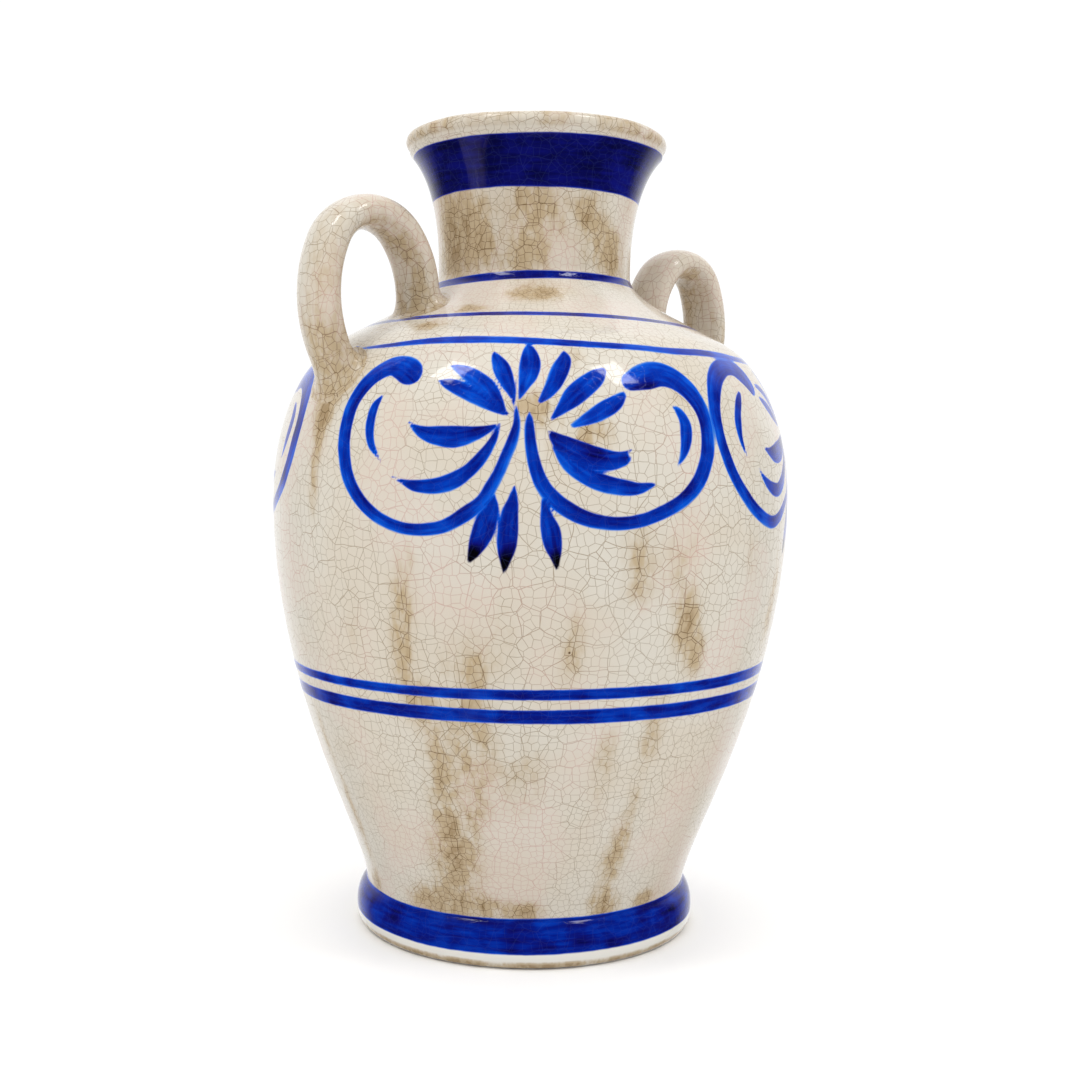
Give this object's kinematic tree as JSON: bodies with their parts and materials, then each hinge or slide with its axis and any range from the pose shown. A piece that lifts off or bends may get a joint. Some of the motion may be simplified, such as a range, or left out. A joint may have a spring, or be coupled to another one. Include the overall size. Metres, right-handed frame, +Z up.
{
  "type": "pottery vase",
  "caption": "Tall shouldered pottery vase with a flared foot, a narrow neck with a rolled lip, and upright strap handles on the shoulder, cream crackle glaze with cobalt brushwork.",
  "frame": {"origin": "centre of the foot ring's flat resting face", "axes": "+Z up the vase's axis to the mouth; the two handles stand on the X axis, handle_right towards +X"},
  "size_m": [0.1961, 0.191, 0.2916],
  "materials": {
    "cream_glaze": "gloss, fine crackle, brown stains",
    "cobalt_glaze": "gloss, brushed cobalt under the glaze"
  },
  "bodies": {
    "root": {"foot_ring": "cobalt_glaze", "lower_body": "cream_glaze", "upper_body": "cream_glaze", "neck": "cream_glaze", "lip": "cream_glaze", "handle_left": "cream_glaze", "handle_right": "cream_glaze", "root_coils_left": "cream_glaze", "root_coils_right": "cream_glaze"}
  },
  "joints": []
}
